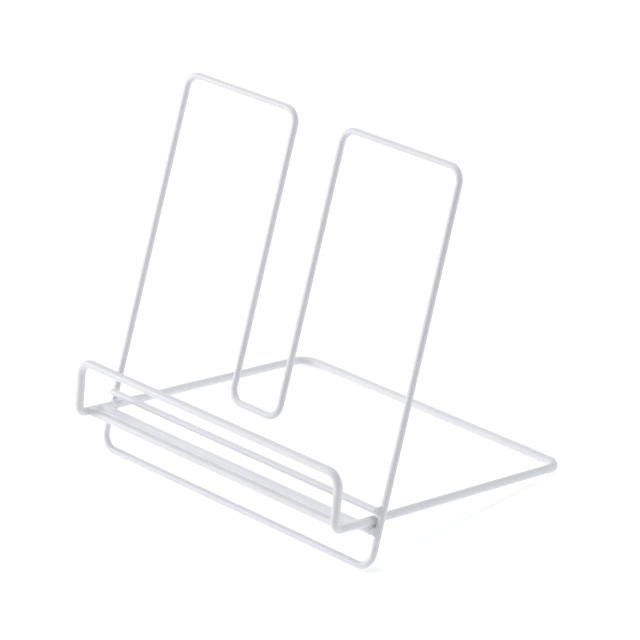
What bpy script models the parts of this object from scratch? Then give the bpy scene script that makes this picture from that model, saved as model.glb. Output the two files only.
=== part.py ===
"""A cookbook stand of bent and welded steel wire.

Two closed wire loops cross each other. The back rest leans back on its foot bar, and the base runs
from a rear bar on the table up through the back rest to a shelf with a raised lip in front.
Metres, +Z up, +X to the right, +Y to the rear. The origin is on the table, under the middle.
"""
import math

import bpy
from mathutils import Vector

# Wires
back_wire = 0.004
base_wire = 0.005
touch_gap = 0.0003

# Back rest, measured between wire centres
foot_width = 0.2178
top_width = 0.2125
back_length = 0.224
back_lean = math.radians(20.4)
slot_width = 0.037
slot_floor = 0.0565
foot_bend = 0.0095
top_bend = 0.0085
slot_bend = 0.008

# Base and shelf, measured between wire centres
base_reach = 0.1603
base_slope = math.radians(9.4)
base_length = 0.1842
lip_height = 0.032
rear_bend = 0.010
shelf_bend = 0.0055
lip_bend = 0.008
front_bar_setback = 0.0087
shelf_bar_pitch = 0.0099

# Cross bars on the back rest
cross_bar_inset = 0.0012
air_over_side_bars = 0.0023

# Smoothness of the bends and of the round wires, whose profile has two more sides for each step
steps_per_bend = 9
profile_steps = 6
sides = 4 + 2 * profile_steps

# Coat
coat_colour = (0.80, 0.80, 0.83)
coat_roughness = 0.35

# Sizes that follow
back_radius = back_wire / 2
base_radius = base_wire / 2
side_share = math.cos(math.pi / sides)
back_rise = math.pi / 2 - back_lean
crossing_angle = back_rise + base_slope


def crossing_on_back_rest():
    """Distance up the back rest from the foot bar to the side bars' centre lines."""
    drop = base_radius - back_radius
    return (drop * math.cos(base_slope) + base_reach * math.sin(base_slope)) / math.sin(crossing_angle)


crossing = crossing_on_back_rest()
cross_bar_offset = back_radius + touch_gap + back_radius
side_bar_at_cross_bars = crossing - cross_bar_offset / math.tan(crossing_angle)
lower_bar_place = side_bar_at_cross_bars - (base_radius + touch_gap + back_radius) / math.sin(crossing_angle)
upper_bar_place = side_bar_at_cross_bars + (
    base_radius + air_over_side_bars + back_radius) / math.sin(crossing_angle)


def back_half_width(place):
    """Half the back rest's width at a distance up from the foot bar."""
    return (foot_width + (top_width - foot_width) * place / back_length) / 2


side_bar_half = back_half_width(crossing) - back_radius - touch_gap - base_radius

# The outermost points along Y, for an origin under the middle of the stand
rear_edge = base_reach + base_radius
shelf_bend_centre = (
    base_reach
    - (base_length - shelf_bend) * math.cos(base_slope)
    + shelf_bend * math.sin(base_slope))
front_edge = shelf_bend_centre - shelf_bend - base_radius
foot_place = -(rear_edge + front_edge) / 2


def rounded(corners, bends):
    """Points round a closed path through the corners, each corner replaced by an arc of its bend radius."""
    points = []
    for index, corner in enumerate(corners):
        to_last = (corners[index - 1] - corner).normalized()
        to_next = (corners[(index + 1) % len(corners)] - corner).normalized()
        half_angle = to_last.angle(to_next) / 2
        bend = bends[index]
        centre = corner + (to_last + to_next).normalized() * bend / math.sin(half_angle)
        start = corner + to_last * bend / math.tan(half_angle) - centre
        end = corner + to_next * bend / math.tan(half_angle) - centre
        sweep = start.angle(end)
        for step in range(steps_per_bend + 1):
            share = step / steps_per_bend
            arm = start * math.sin((1 - share) * sweep) + end * math.sin(share * sweep)
            points.append(centre + arm / math.sin(sweep))
    return points


def coat(name):
    """Powder coat on steel: one smooth, slightly glossy colour."""
    material = bpy.data.materials.new(name)
    material.use_nodes = True
    shader = material.node_tree.nodes["Principled BSDF"]
    shader.inputs["Base Color"].default_value = (*coat_colour, 1.0)
    shader.inputs["Metallic"].default_value = 0.0
    shader.inputs["Roughness"].default_value = coat_roughness
    material.diffuse_color = (*coat_colour, 1.0)
    return material


def add_wire(name, points, diameter, closed, carrier):
    """A wire along the points. Its sides touch the round wire's surface, and it is rolled about its own line
    so that its bar on the table has a side down."""
    curve = bpy.data.curves.new(name, "CURVE")
    curve.dimensions = "3D"
    curve.twist_mode = "MINIMUM"
    curve.bevel_depth = diameter / 2 / side_share
    curve.bevel_resolution = profile_steps
    curve.use_fill_caps = not closed
    side_pitch = math.tau / sides
    turn = -math.remainder(carrier.rotation_euler.x + side_pitch / 2, side_pitch)
    spline = curve.splines.new("POLY")
    spline.points.add(len(points) - 1)
    for target, point in zip(spline.points, points):
        target.co = (*point, 1.0)
        target.tilt = turn
    spline.use_cyclic_u = closed
    spline.use_smooth = True
    curve.materials.append(coat(name + "_coat"))
    wire = bpy.data.objects.new(name, curve)
    parts.objects.link(wire)
    wire.parent = carrier


def add_carrier(name, place, tilt):
    """An empty on a bar's centre line, tilted about X, that carries the pieces of one frame."""
    carrier = bpy.data.objects.new(name, None)
    carrier.location = place
    carrier.rotation_euler = (tilt, 0.0, 0.0)
    parts.objects.link(carrier)
    return carrier


def back_rest_loop():
    """One wire bent in its own plane: two tall lobes with an open slot between them."""
    slot_half = slot_width / 2
    foot_half = foot_width / 2
    top_half = top_width / 2
    outline = (
        (-foot_half, 0.0, foot_bend),
        (foot_half, 0.0, foot_bend),
        (top_half, back_length, top_bend),
        (slot_half, back_length, top_bend),
        (slot_half, slot_floor, slot_bend),
        (-slot_half, slot_floor, slot_bend),
        (-slot_half, back_length, top_bend),
        (-top_half, back_length, top_bend),
    )
    corners = [Vector((x, y, 0.0)) for x, y, bend in outline]
    bends = [bend for x, y, bend in outline]
    return rounded(corners, bends)


def base_loop():
    """One wire bent out of its plane: rear bar, side bars, and the lip that stands up in front."""
    half = side_bar_half
    outline = (
        (-half, 0.0, 0.0, rear_bend),
        (half, 0.0, 0.0, rear_bend),
        (half, -base_length, 0.0, shelf_bend),
        (half, -base_length, lip_height, lip_bend),
        (-half, -base_length, lip_height, lip_bend),
        (-half, -base_length, 0.0, shelf_bend),
    )
    corners = [Vector((x, y, z)) for x, y, z, bend in outline]
    bends = [bend for x, y, z, bend in outline]
    return rounded(corners, bends)


def straight_bar(half_length, y, z):
    """The two ends of a straight bar along X."""
    return [Vector((-half_length, y, z)), Vector((half_length, y, z))]


for old in list(bpy.data.objects):
    bpy.data.objects.remove(old, do_unlink=True)

parts = bpy.data.collections.new("cookbook_stand")
bpy.context.scene.collection.children.link(parts)

# Back rest
back_carrier = add_carrier("back_rest_carrier", (0.0, foot_place, back_radius), back_rise)
add_wire("back_rest_loop", back_rest_loop(), back_wire, True, back_carrier)
cross_bar_half = back_half_width(crossing) - cross_bar_inset
for bar_name, place in (("upper_cross_bar", upper_bar_place), ("lower_cross_bar", lower_bar_place)):
    ends = straight_bar(cross_bar_half, place, cross_bar_offset)
    add_wire(bar_name, ends, back_wire, False, back_carrier)

# Base with its shelf
rear_centre = (0.0, foot_place + base_reach, base_radius)
base_carrier = add_carrier("base_carrier", rear_centre, -base_slope)
add_wire("base_loop", base_loop(), base_wire, True, base_carrier)
shelf_bar_half = side_bar_half - base_radius - touch_gap
front_bar_place = front_bar_setback - base_length
for bar_name, place in (
        ("front_shelf_bar", front_bar_place),
        ("rear_shelf_bar", front_bar_place + shelf_bar_pitch)):
    ends = straight_bar(shelf_bar_half, place, 0.0)
    add_wire(bar_name, ends, base_wire, False, base_carrier)
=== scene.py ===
"""A cookbook stand of bent and welded steel wire, powder-coated white, on a pale studio floor."""
import math

import bmesh
import bpy
from mathutils import Matrix, Vector


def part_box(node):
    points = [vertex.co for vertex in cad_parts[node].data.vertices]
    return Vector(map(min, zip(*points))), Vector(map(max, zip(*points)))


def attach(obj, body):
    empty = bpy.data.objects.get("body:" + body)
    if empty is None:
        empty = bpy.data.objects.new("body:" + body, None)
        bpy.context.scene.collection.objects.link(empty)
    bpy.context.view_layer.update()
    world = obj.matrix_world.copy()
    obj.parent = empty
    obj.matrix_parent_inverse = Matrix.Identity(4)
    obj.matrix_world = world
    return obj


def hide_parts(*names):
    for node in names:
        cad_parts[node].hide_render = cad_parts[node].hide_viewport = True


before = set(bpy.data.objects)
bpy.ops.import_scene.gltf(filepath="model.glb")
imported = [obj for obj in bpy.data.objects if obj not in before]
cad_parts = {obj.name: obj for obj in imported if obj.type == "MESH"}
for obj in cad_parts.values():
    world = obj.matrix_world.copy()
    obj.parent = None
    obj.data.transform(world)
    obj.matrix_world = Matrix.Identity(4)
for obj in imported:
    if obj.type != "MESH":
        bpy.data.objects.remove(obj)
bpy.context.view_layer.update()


# Back rest
# One length of 4 mm mild steel wire, bent cold round a former into two tall lobes with an open slot between
# them. Its ends are butt-welded, and the joint is ground flush before the coat goes on.
back_wire = 0.004
foot_width = 0.2178
top_width = 0.2125
back_length = 0.224
back_lean = math.radians(20.4)
slot_width = 0.037
slot_floor = 0.0565
foot_bend = 0.0095
top_bend = 0.0085
slot_bend = 0.008
wire_sides = 48
steps_round_bend = 18
# A straight run has a ring this share of its length from each end, so that the rest of it is shaded straight.
end_share = 0.02


def ring_of(geometry):
    """The vertices in some geometry, and the edges that join two of them."""
    verts = [part for part in geometry if isinstance(part, bmesh.types.BMVert)]
    edges = {
        edge for vert in verts for edge in vert.link_edges if all(end in verts for end in edge.verts)}
    return verts, list(edges)


def bend_wire(shape, wire, outline):
    """Draws a closed wire: a ring is drawn along each straight run, and spun round each bend to the next."""
    corners = [Vector(point) for point, bend in outline]
    bends = [bend for point, bend in outline]
    after = [(index + 1) % len(corners) for index in range(len(corners))]
    headings = [(corners[after[index]] - corner).normalized() for index, corner in enumerate(corners)]
    setbacks = [
        bend * math.tan(headings[index - 1].angle(headings[index]) / 2)
        for index, bend in enumerate(bends)]
    upright = headings[0].to_track_quat("Z", "X").to_matrix().to_4x4()
    start = Matrix.Translation(corners[0] + headings[0] * setbacks[0])
    circle = bmesh.ops.create_circle(shape, segments=wire_sides, radius=wire / 2, matrix=start @ upright)
    verts, edges = ring_of(circle["verts"])
    for index, heading in enumerate(headings):
        onward = after[index]
        run = (corners[onward] - corners[index]).length - setbacks[index] - setbacks[onward]
        for share in end_share, 1 - 2 * end_share, end_share:
            verts, edges = ring_of(bmesh.ops.extrude_edge_only(shape, edges=edges)["geom"])
            bmesh.ops.translate(shape, verts=verts, vec=heading * run * share)
        turn = heading.angle(headings[onward])
        inward = (headings[onward] - heading).normalized()
        centre = corners[onward] + inward * bends[onward] / math.cos(turn / 2)
        bent = bmesh.ops.spin(
            shape, geom=verts + edges, cent=centre, axis=heading.cross(headings[onward]), dvec=(0, 0, 0),
            angle=turn, steps=steps_round_bend, use_merge=False, use_duplicate=False)
        verts, edges = ring_of(bent["geom_last"])
    bmesh.ops.remove_doubles(shape, verts=shape.verts[:], dist=back_wire / 1000)


def finish_piece(name, shape, place):
    """Makes a smooth object of a shape, with its place in its mesh and its faces outwards."""
    shape.transform(place)
    bmesh.ops.recalc_face_normals(shape, faces=shape.faces[:])
    mesh = bpy.data.meshes.new(name)
    shape.to_mesh(mesh)
    shape.free()
    for face in mesh.polygons:
        face.use_smooth = True
    piece = bpy.data.objects.new(name, mesh)
    bpy.context.scene.collection.objects.link(piece)
    return piece


def linear(colour):
    """An sRGB hex colour as linear RGBA."""
    shares = [int(colour[place:place + 2], 16) / 255 for place in (1, 3, 5)]
    return (
        *[share / 12.92 if share <= 0.04045 else ((share + 0.055) / 1.055) ** 2.4 for share in shares],
        1.0)


def add_node(tree, kind, settings, sockets, links):
    """Adds a node, sets its properties and input sockets, and links other nodes' outputs into it."""
    node = tree.nodes.new(kind)
    for setting, value in settings.items():
        setattr(node, setting, value)
    for socket, value in sockets.items():
        node.inputs[socket].default_value = value
    for socket, source in links.items():
        tree.links.new(source, node.inputs[socket])
    return node


def powder_coat():
    """White polyester powder coat, about 80 microns thick: satin, with the soft orange peel of cured powder."""
    coat = bpy.data.materials.new("white_powder_coat")
    coat.use_nodes = True
    tree = coat.node_tree
    shader = tree.nodes["Principled BSDF"]
    place = add_node(tree, "ShaderNodeTexCoord", {}, {}, {}).outputs["Object"]
    # The film flows into waves about 2 mm long and a few microns high. They are drawn 3 times as high, to show.
    peel = add_node(tree, "ShaderNodeTexNoise", {}, {"Scale": 1 / 0.002, "Detail": 2.0}, {"Vector": place})
    # Powder falls thicker on some stretches than on others, 30 mm or so apart, and is a shade whiter there.
    film = add_node(tree, "ShaderNodeTexNoise", {}, {"Scale": 1 / 0.030, "Detail": 1.0}, {"Vector": place})
    shade = add_node(
        tree, "ShaderNodeMix", {"data_type": "RGBA"},
        {"A": linear("#EBEBF0"), "B": linear("#F1F1F5")}, {"Factor": film.outputs["Fac"]})
    satin = add_node(
        tree, "ShaderNodeMapRange", {}, {"To Min": 0.30, "To Max": 0.40}, {"Value": peel.outputs["Fac"]})
    waves = add_node(
        tree, "ShaderNodeBump", {}, {"Strength": 0.6, "Distance": 0.000012}, {"Height": peel.outputs["Fac"]})
    tree.links.new(shade.outputs["Result"], shader.inputs["Base Color"])
    tree.links.new(satin.outputs["Result"], shader.inputs["Roughness"])
    tree.links.new(waves.outputs["Normal"], shader.inputs["Normal"])
    shader.inputs["IOR"].default_value = 1.5
    return coat


white_coat = powder_coat()
foot_place = Vector((0.0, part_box("back_rest_loop")[0].y + back_wire / 2, back_wire / 2))
back_plane = Matrix.Translation(foot_place) @ Matrix.Rotation(math.pi / 2 - back_lean, 4, "X")

foot_half, top_half, slot_half = foot_width / 2, top_width / 2, slot_width / 2
back_shape = bmesh.new()
bend_wire(back_shape, back_wire, (
    ((-foot_half, 0, 0), foot_bend),
    ((foot_half, 0, 0), foot_bend),
    ((top_half, back_length, 0), top_bend),
    ((slot_half, back_length, 0), top_bend),
    ((slot_half, slot_floor, 0), slot_bend),
    ((-slot_half, slot_floor, 0), slot_bend),
    ((-slot_half, back_length, 0), top_bend),
    ((-top_half, back_length, 0), top_bend)))
back_rest = finish_piece("back_rest_wire", back_shape, back_plane)
back_rest.data.materials.append(white_coat)
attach(back_rest, "root")
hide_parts("back_rest_loop")


# Base, shelf sides and lip
# One length of 5 mm mild steel wire. It is bent flat into a long U, its two arms are bent up square in front,
# and the lip closes it, butt-welded. From the bar at the rear the arms rise to the shelf.
base_wire = 0.005
base_slope = math.radians(9.4)
base_length = 0.1842
lip_height = 0.032
rear_bend = 0.010
shelf_bend = 0.0055
lip_bend = 0.008
weld_gap = 0.0003
rear_place = Vector((0.0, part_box("base_loop")[1].y - base_wire / 2, base_wire / 2))
base_plane = Matrix.Translation(rear_place) @ Matrix.Rotation(-base_slope, 4, "X")
shelf_low, shelf_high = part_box("rear_shelf_bar")
arm_place = (shelf_high.x - shelf_low.x) / 2 + weld_gap + base_wire / 2

base_shape = bmesh.new()
bend_wire(base_shape, base_wire, (
    ((-arm_place, 0, 0), rear_bend),
    ((arm_place, 0, 0), rear_bend),
    ((arm_place, -base_length, 0), shelf_bend),
    ((arm_place, -base_length, lip_height), lip_bend),
    ((-arm_place, -base_length, lip_height), lip_bend),
    ((-arm_place, -base_length, 0), shelf_bend)))
base = finish_piece("base_wire", base_shape, base_plane)
base.data.materials.append(white_coat)
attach(base, "root")
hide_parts("base_loop")


# Straight bars
# Two bars of the 4 mm wire cross the front of the uprights, one over and one under the arms, and two bars of
# the 5 mm wire fill the shelf. They are sheared to length and tumbled, which rounds their ends slightly.
end_rounding = 0.0006
rounding_steps = 5


def straight_bar(node, wire):
    """A round bar where a CAD bar lies, along X, with rounded ends."""
    low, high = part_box(node)
    lie = Matrix.Translation((low + high) / 2) @ Matrix.Rotation(math.pi / 2, 4, "Y")
    shape = bmesh.new()
    bmesh.ops.create_cone(
        shape, cap_ends=True, segments=wire_sides, radius1=wire / 2, radius2=wire / 2, depth=high.x - low.x)
    rims = [edge for edge in shape.edges if any(len(face.verts) > 4 for face in edge.link_faces)]
    bmesh.ops.bevel(
        shape, geom=rims, offset=end_rounding, offset_type="OFFSET", segments=rounding_steps, profile=0.5,
        material=-1, affect="EDGES")
    for end in -1, 1:
        ring_place = Vector((0.0, 0.0, end * (0.5 - end_share) * (high.x - low.x)))
        bmesh.ops.bisect_plane(
            shape, geom=shape.verts[:] + shape.edges[:] + shape.faces[:], plane_co=ring_place,
            plane_no=(0, 0, 1))
    bar = finish_piece(node + "_wire", shape, lie)
    bar.data.materials.append(white_coat)
    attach(bar, "root")
    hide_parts(node)


cross_bars = "upper_cross_bar", "lower_cross_bar"
shelf_bars = "front_shelf_bar", "rear_shelf_bar"
for node in cross_bars:
    straight_bar(node, back_wire)
for node in shelf_bars:
    straight_bar(node, base_wire)


# Welds
# Resistance welds, in the wires' own steel: under current and pressure the wires sink into each other, and the
# metal flows into the nooks between them. They are brushed smooth before the coat.
weld_round = 0.0014
weld_grain = 0.0002
flow_passes = 10
brush_passes = 24
# Where a weld has nothing to fill, it stays this far under the wires' surface.
under_surface = 0.00002
# The lengths that each weld takes in: up the uprights from the foot bar, along the arms from the rear bar, and
# inwards from the ends of the straight bars.
cross_weld_up = 0.0175, 0.0375
arm_weld_up = 0.020, 0.035
arm_weld_along = 0.152, 0.160
shelf_weld_along = 0.160, 0.176
cross_bar_inwards = 0.0085
shelf_bar_inwards = 0.0075
# What an arm sinks into is thinner than its upright, and behind the upright's centre line.
sunk_wire = 0.0028
sunk_behind = 0.0006


def stub(shape, start, end, wire):
    """A length of wire with rounded ends, grown all round by the welds' rounding."""
    radius = wire / 2 - under_surface + weld_round
    lie = Matrix.Translation((start + end) / 2) @ (end - start).to_track_quat("Z", "Y").to_matrix().to_4x4()
    made = bmesh.ops.create_cone(
        shape, cap_ends=True, segments=wire_sides, radius1=radius, radius2=radius,
        depth=(end - start).length + 2 * weld_round, matrix=lie)
    faces = {face for vert in made["verts"] for face in vert.link_faces if len(face.verts) > 4}
    bmesh.ops.bevel(
        shape, geom=list({edge for face in faces for edge in face.edges}), offset=end_rounding + weld_round,
        offset_type="OFFSET", segments=rounding_steps, profile=0.5, material=-1, affect="EDGES")


def weld(name, shape):
    """Melts the grown lengths into one and shrinks it back, which leaves their narrow nooks filled."""
    piece = finish_piece(name, shape, Matrix())
    melted = piece.modifiers.new("melted", "REMESH")
    melted.mode = "VOXEL"
    melted.voxel_size = weld_grain
    melted.use_smooth_shade = True
    flowed = piece.modifiers.new("flowed", "SMOOTH")
    flowed.factor = 0.5
    flowed.iterations = flow_passes
    shrunk = piece.modifiers.new("shrunk", "DISPLACE")
    shrunk.mid_level = 0.0
    shrunk.strength = -weld_round
    brushed = piece.modifiers.new("brushed", "SMOOTH")
    brushed.factor = 0.5
    brushed.iterations = brush_passes
    piece.data.materials.append(white_coat)
    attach(piece, "root")


def add_upright(shape, hand, span, out, wire):
    """A stub along an upright, over a span up it from the foot bar, and at a distance out of its plane."""
    start, end = (
        back_plane @ Vector((hand * (foot_half - (foot_half - top_half) * up / back_length), up, out))
        for up in span)
    stub(shape, start, end, wire)


def add_arm(shape, hand, span):
    """A stub along one of the base's arms, over a span from the rear bar."""
    start, end = (base_plane @ Vector((hand * arm_place, -along, 0.0)) for along in span)
    stub(shape, start, end, base_wire)


def add_bar(shape, hand, node, outer, inwards, wire):
    """A stub along a straight bar, from an outer end inwards."""
    low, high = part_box(node)
    end = (low + high) / 2 + Vector((hand * outer, 0.0, 0.0))
    stub(shape, end, end - Vector((hand * inwards, 0.0, 0.0)), wire)


cross_bar_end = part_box("upper_cross_bar")[1].x - under_surface
for side, hand in ("left", -1), ("right", 1):
    crossing = bmesh.new()
    add_upright(crossing, hand, cross_weld_up, 0.0, back_wire)
    for node in cross_bars:
        add_bar(crossing, hand, node, cross_bar_end, cross_bar_inwards, back_wire)
    weld(side + "_cross_bar_welds", crossing)

    # The arm sinks in from behind, so the nook in front of it stays open.
    behind = bmesh.new()
    add_upright(behind, hand, arm_weld_up, -sunk_behind, sunk_wire)
    add_arm(behind, hand, arm_weld_along)
    add_bar(behind, hand, "lower_cross_bar", cross_bar_end, cross_bar_inwards, back_wire)
    weld(side + "_arm_weld", behind)

    shelf = bmesh.new()
    add_arm(shelf, hand, shelf_weld_along)
    for node in shelf_bars:
        add_bar(shelf, hand, node, arm_place, shelf_bar_inwards, base_wire)
    weld(side + "_shelf_welds", shelf)


# Floor
# A seamless sheet of matt white paper, with a faint light of its own that takes the edge off the shadows. It
# lies just under the stand.
floor_half = 8.0
floor_drop = 0.0001
floor_shape = bmesh.new()
bmesh.ops.create_grid(floor_shape, x_segments=1, y_segments=1, size=floor_half)
floor = finish_piece("floor", floor_shape, Matrix.Translation((0.0, 0.0, -floor_drop)))
paper = bpy.data.materials.new("white_paper")
paper.use_nodes = True
paper_look = paper.node_tree.nodes["Principled BSDF"].inputs
paper_look["Base Color"].default_value = linear("#FBFBFB")
paper_look["Roughness"].default_value = 0.9
paper_look["Emission Color"].default_value = linear("#FFFFFF")
paper_look["Emission Strength"].default_value = 0.32
floor.data.materials.append(paper)


# Camera
# It looks down at the stand from the front right, through a long lens, with a slight roll. Its place is solved
# from the lines of the wires in the photograph.
camera_roll = math.radians(-1.576)
camera_distance = 1.98215
camera_aim = Vector((-0.0066, 0.0093, 0.0875))


def away_at(side, height):
    """The direction away from the stand at an angle round it, from its front, and an angle above the floor."""
    around, above = math.radians(side), math.radians(height)
    return Vector((
        math.sin(around) * math.cos(above),
        -math.cos(around) * math.cos(above),
        math.sin(above)))


camera = bpy.data.objects.new("camera", bpy.data.cameras.new("camera"))
camera.data.sensor_width = 36.0
camera.data.lens = 196.7
back = away_at(45.997, 25.187)
right = Vector((0.0, 0.0, 1.0)).cross(back).normalized()
turned = Matrix((right, back.cross(right), back)).transposed().to_4x4() @ Matrix.Rotation(camera_roll, 4, "Z")
camera.matrix_world = Matrix.Translation(camera_aim + back * camera_distance) @ turned
camera.data.clip_start = 0.05
camera.data.clip_end = 50.0
bpy.context.scene.collection.objects.link(camera)
bpy.context.scene.camera = camera


# Light
# Four soft boxes: one over the stand, one low in front on its left, one high behind on its left, and one low
# and slightly blue behind on its right. The room round them is dim.
box_size = 1.3
box_distance = 2.2
box_aim = Vector((0.0, 0.0, 0.1))


def soft_box(name, side, height, watts, colour):
    """A square soft box, turned to the stand, at an angle round it and an angle above the floor."""
    away = away_at(side, height)
    box = bpy.data.objects.new(name, bpy.data.lights.new(name, "AREA"))
    box.data.shape = "SQUARE"
    box.data.size = box_size
    box.data.energy = watts
    box.data.color = linear(colour)[:3]
    turned = away.to_track_quat("Z", "Y").to_matrix().to_4x4()
    box.matrix_world = Matrix.Translation(box_aim + away * box_distance) @ turned
    bpy.context.scene.collection.objects.link(box)


soft_box("top_box", 0.0, 90.0, 20.0, "#FFFFFF")
soft_box("left_front_box", -48.0, 17.0, 23.0, "#FEFFFE")
soft_box("back_left_box", -142.0, 38.0, 9.0, "#FEFFFF")
soft_box("back_right_box", 135.0, 12.0, 9.0, "#EAFAFF")
room = bpy.data.worlds.new("room")
room.use_nodes = True
room_air = room.node_tree.nodes["Background"].inputs
room_air["Color"].default_value = linear("#FFFFFF")
room_air["Strength"].default_value = 0.2
bpy.context.scene.world = room
bpy.context.scene.view_settings.view_transform = "Standard"
